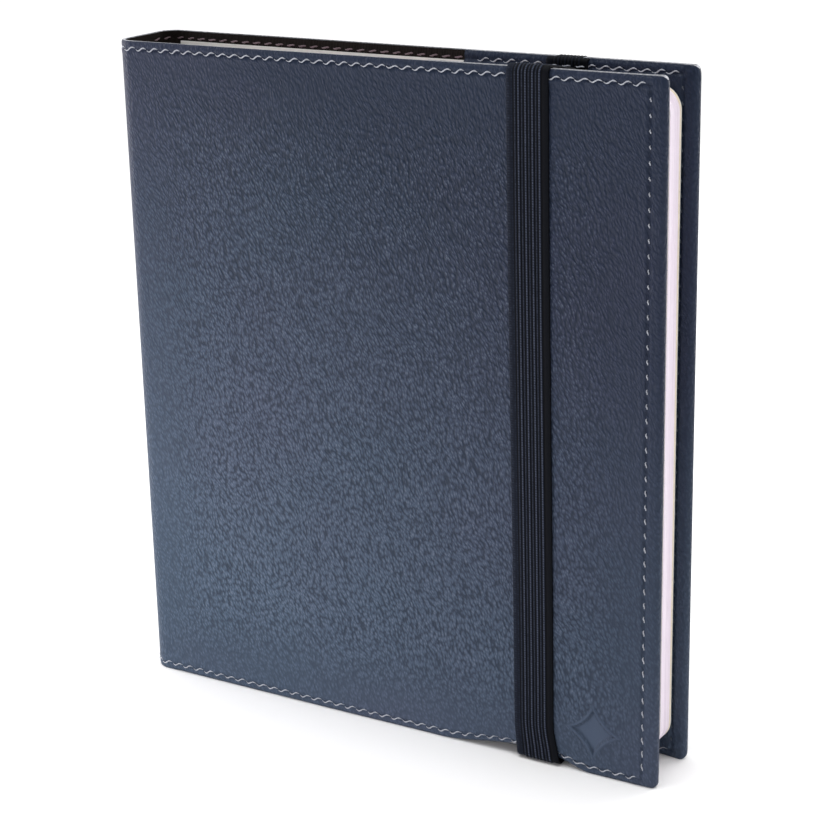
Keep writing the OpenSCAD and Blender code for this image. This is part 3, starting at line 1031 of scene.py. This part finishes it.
def tack_places():
    """Three stitches across each sewn end of the band, on the side of it that faces the pages."""
    face_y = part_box("band_end_top")[0].y - 0.1 * MM
    places = []
    for z in SEAM_LEVELS.values():
        for i in range(3):
            centre = Vector((BAND_X + (i - 1) * PITCH, face_y, z))
            places.append((centre, Vector((1, 0, 0)), Vector((0, -1, 0)), 0.9))
    return places


tacks = seam("band_tack_threads", tack_places(), THREAD, 0.15 * MM, 8, TACK_LEN)
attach(tacks, "back_cover")
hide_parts("band_tack_stitches")


# ---- Pages ----
def leaf_outline(low_x, high_x, low_z, high_z, radius, inset):
    """Outline of a leaf in (x, z), with round corners at the fore-edge."""
    made = [(low_x, low_z + inset)]
    right, top, bottom = high_x - inset, high_z - inset, low_z + inset
    turns = np.linspace(0, math.pi / 2, 9)[1:]
    made += [(low_x + (right - radius - low_x) * k / 6, bottom) for k in range(1, 7)]
    made += [(right - radius + radius * math.sin(a), bottom + radius - radius * math.cos(a))
             for a in turns]
    made += [(right, bottom + radius + (top - bottom - 2 * radius) * k / 10) for k in range(1, 11)]
    made += [(right - radius + radius * math.cos(a), top - radius + radius * math.sin(a))
             for a in turns]
    made += [(right - radius - (right - radius - low_x) * k / 6, top) for k in range(1, 7)]
    return made


def leaf_stack(name, node, body, leaf_t, seed, cream=0):
    """A stack of leaves: every leaf's edge stands a little in or out, and so the block's edges show them.
    The last few leaves may be cream."""
    low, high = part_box(node)
    count = max(1, round((high.y - low.y) / leaf_t))
    chance = np.random.default_rng(seed)
    rings, tilt = [], chance.normal(0, 0.03 * MM)
    for i in range(count):
        inset = abs(chance.normal(0, 0.07 * MM)) + abs(tilt) * i / count
        outline = np.array(leaf_outline(low.x, high.x, low.z, high.z, PAGE_CORNER_R, inset))
        for way in (0.08, 0.92):
            y = low.y + (high.y - low.y) * (i + way) / count
            soft = 0.03 * MM if way > 0.5 else 0.0
            rings.append(np.stack([outline[:, 0] - soft * 0.5, np.full(len(outline), y), outline[:, 1]], 1))
    rings[0][:, 1] = low.y
    rings[-1][:, 1] = high.y
    sides = len(rings[0])
    points = np.concatenate(rings)
    faces, kinds = [], []
    for i in range(len(rings) - 1):
        for k in range(sides):
            a, b = i * sides + k, i * sides + (k + 1) % sides
            faces.append((a, a + sides, b + sides, b))
            kinds.append(2 if i // 2 >= count - cream else 0)
    faces.append(tuple(range(sides)))
    faces.append(tuple(range((len(rings) - 1) * sides, len(rings) * sides))[::-1])
    kinds += [1, 1]
    made = mesh_object(name, points, [f[::-1] for f in faces], [PAGE_EDGE, PAGE, CREAM], kinds, smooth=False)
    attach(made, body)
    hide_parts(node)


for number in (1, 2, 3):
    leaf_stack(f"front_pages_{number}", f"front_section_{number}", "front_pages", LEAF_T, 10 + number)
    cream = 9 if number == 1 else 0
    leaf_stack(f"back_pages_{number}", f"back_section_{number}", "back_cover", LEAF_T, 20 + number, cream)
leaf_stack("loose_leaves_front", "middle_leaves_front", "front_leaves", LOOSE_LEAF_T, 31)
leaf_stack("loose_leaves_back", "middle_leaves_back", "back_leaves", LOOSE_LEAF_T, 32)

for cover in ("front", "back"):
    looks = {"card_cover": CARD, "endpaper": CARD, "spine_strip": CARD, "cover_board": BOARD}
    for part, material in looks.items():
        slots = frame["nodes"][f"{cover}_{part}"].data.materials
        slots.clear()
        slots.append(material)


# ---- Stage, light and camera ----
def stage():
    """A wide pale floor."""
    floor_material, shader = new_material("pale_floor", (0.93, 0.93, 0.93), 0.9)
    n = Nodes(floor_material)
    cloud = n.noise(3, 2).outputs["Fac"]
    n.link(n.ramp(cloud, [(0.3, (0.92, 0.92, 0.92)), (0.7, (0.94, 0.94, 0.94))]), shader.inputs["Base Color"])
    size = 12.0
    corners = [(-size, -size, 0), (size, -size, 0), (size, size, 0), (-size, size, 0)]
    mesh_object("floor", corners, [(0, 1, 2, 3)], [floor_material], smooth=False)


def area_light(name, place, target, width, height, power, colour=(1, 1, 1), shines=True):
    """A soft light, seen in glossy surfaces only if it shines."""
    data = bpy.data.lights.new(name, "AREA")
    data.shape = "RECTANGLE"
    data.size, data.size_y = width, height
    data.energy = power
    data.color = colour
    light = bpy.data.objects.new(name, data)
    light.location = place
    light.rotation_euler = (Vector(target) - Vector(place)).to_track_quat("-Z", "Y").to_euler()
    light.visible_camera = False
    light.visible_glossy = shines
    bpy.context.scene.collection.objects.link(light)


def sun_light(name, direction, angle, strength):
    """Even light along a direction, spread over an angle."""
    data = bpy.data.lights.new(name, "SUN")
    data.angle = math.radians(angle)
    data.energy = strength
    light = bpy.data.objects.new(name, data)
    light.rotation_euler = Vector(direction).to_track_quat("-Z", "Y").to_euler()
    bpy.context.scene.collection.objects.link(light)


def world_light():
    """White surroundings."""
    world = bpy.data.worlds.new("studio")
    world.use_nodes = True
    background = world.node_tree.nodes["Background"]
    background.inputs["Color"].default_value = (1, 1, 1, 1)
    background.inputs["Strength"].default_value = 0.36
    bpy.context.scene.world = world


def camera():
    """The main view: right of the front cover, a little above it, through a long lens."""
    yaw, pitch, roll = 31.44, 17.75, -1.32
    data = bpy.data.cameras.new("camera")
    data.lens = 92.8
    data.sensor_width = 36
    data.clip_start, data.clip_end = 0.01, 100
    made = bpy.data.objects.new("camera", data)
    made.location = (0.3675, -0.5974, 0.3399)
    aim = Euler((math.radians(90 - pitch), 0, math.radians(yaw)), "XYZ").to_matrix()
    made.rotation_euler = (aim @ Euler((0, 0, math.radians(roll)), "XYZ").to_matrix()).to_euler()
    bpy.context.scene.collection.objects.link(made)
    bpy.context.scene.camera = made


stage()
world_light()
sun_light("ceiling", (0.10, 0.05, -1), 50, 2.75)
area_light("key", (-0.15, -0.28, 0.02), (0, 0, 0.055), 0.26, 0.14, 0.55, (1.0, 0.98, 0.99), shines=False)
area_light("low_softbox", (-0.36, -0.40, 0.05), (-0.04, 0, 0.06), 0.26, 0.12, 0.6, (1.0, 0.95, 0.99))
area_light("left_edge", (-0.9, -0.05, 0.3), (-0.1, 0, 0.12), 0.3, 0.5, 3.2, (1.0, 0.94, 0.98))
area_light("page_fill", (0.7, 0.0, 0.15), (0.1, 0, 0.12), 0.3, 0.3, 1.0, shines=False)
area_light("back_softbox", (0.35, 0.7, 0.35), (0, 0, 0.12), 0.5, 0.5, 3.0)
camera()
bpy.context.scene.view_settings.view_transform = "Standard"
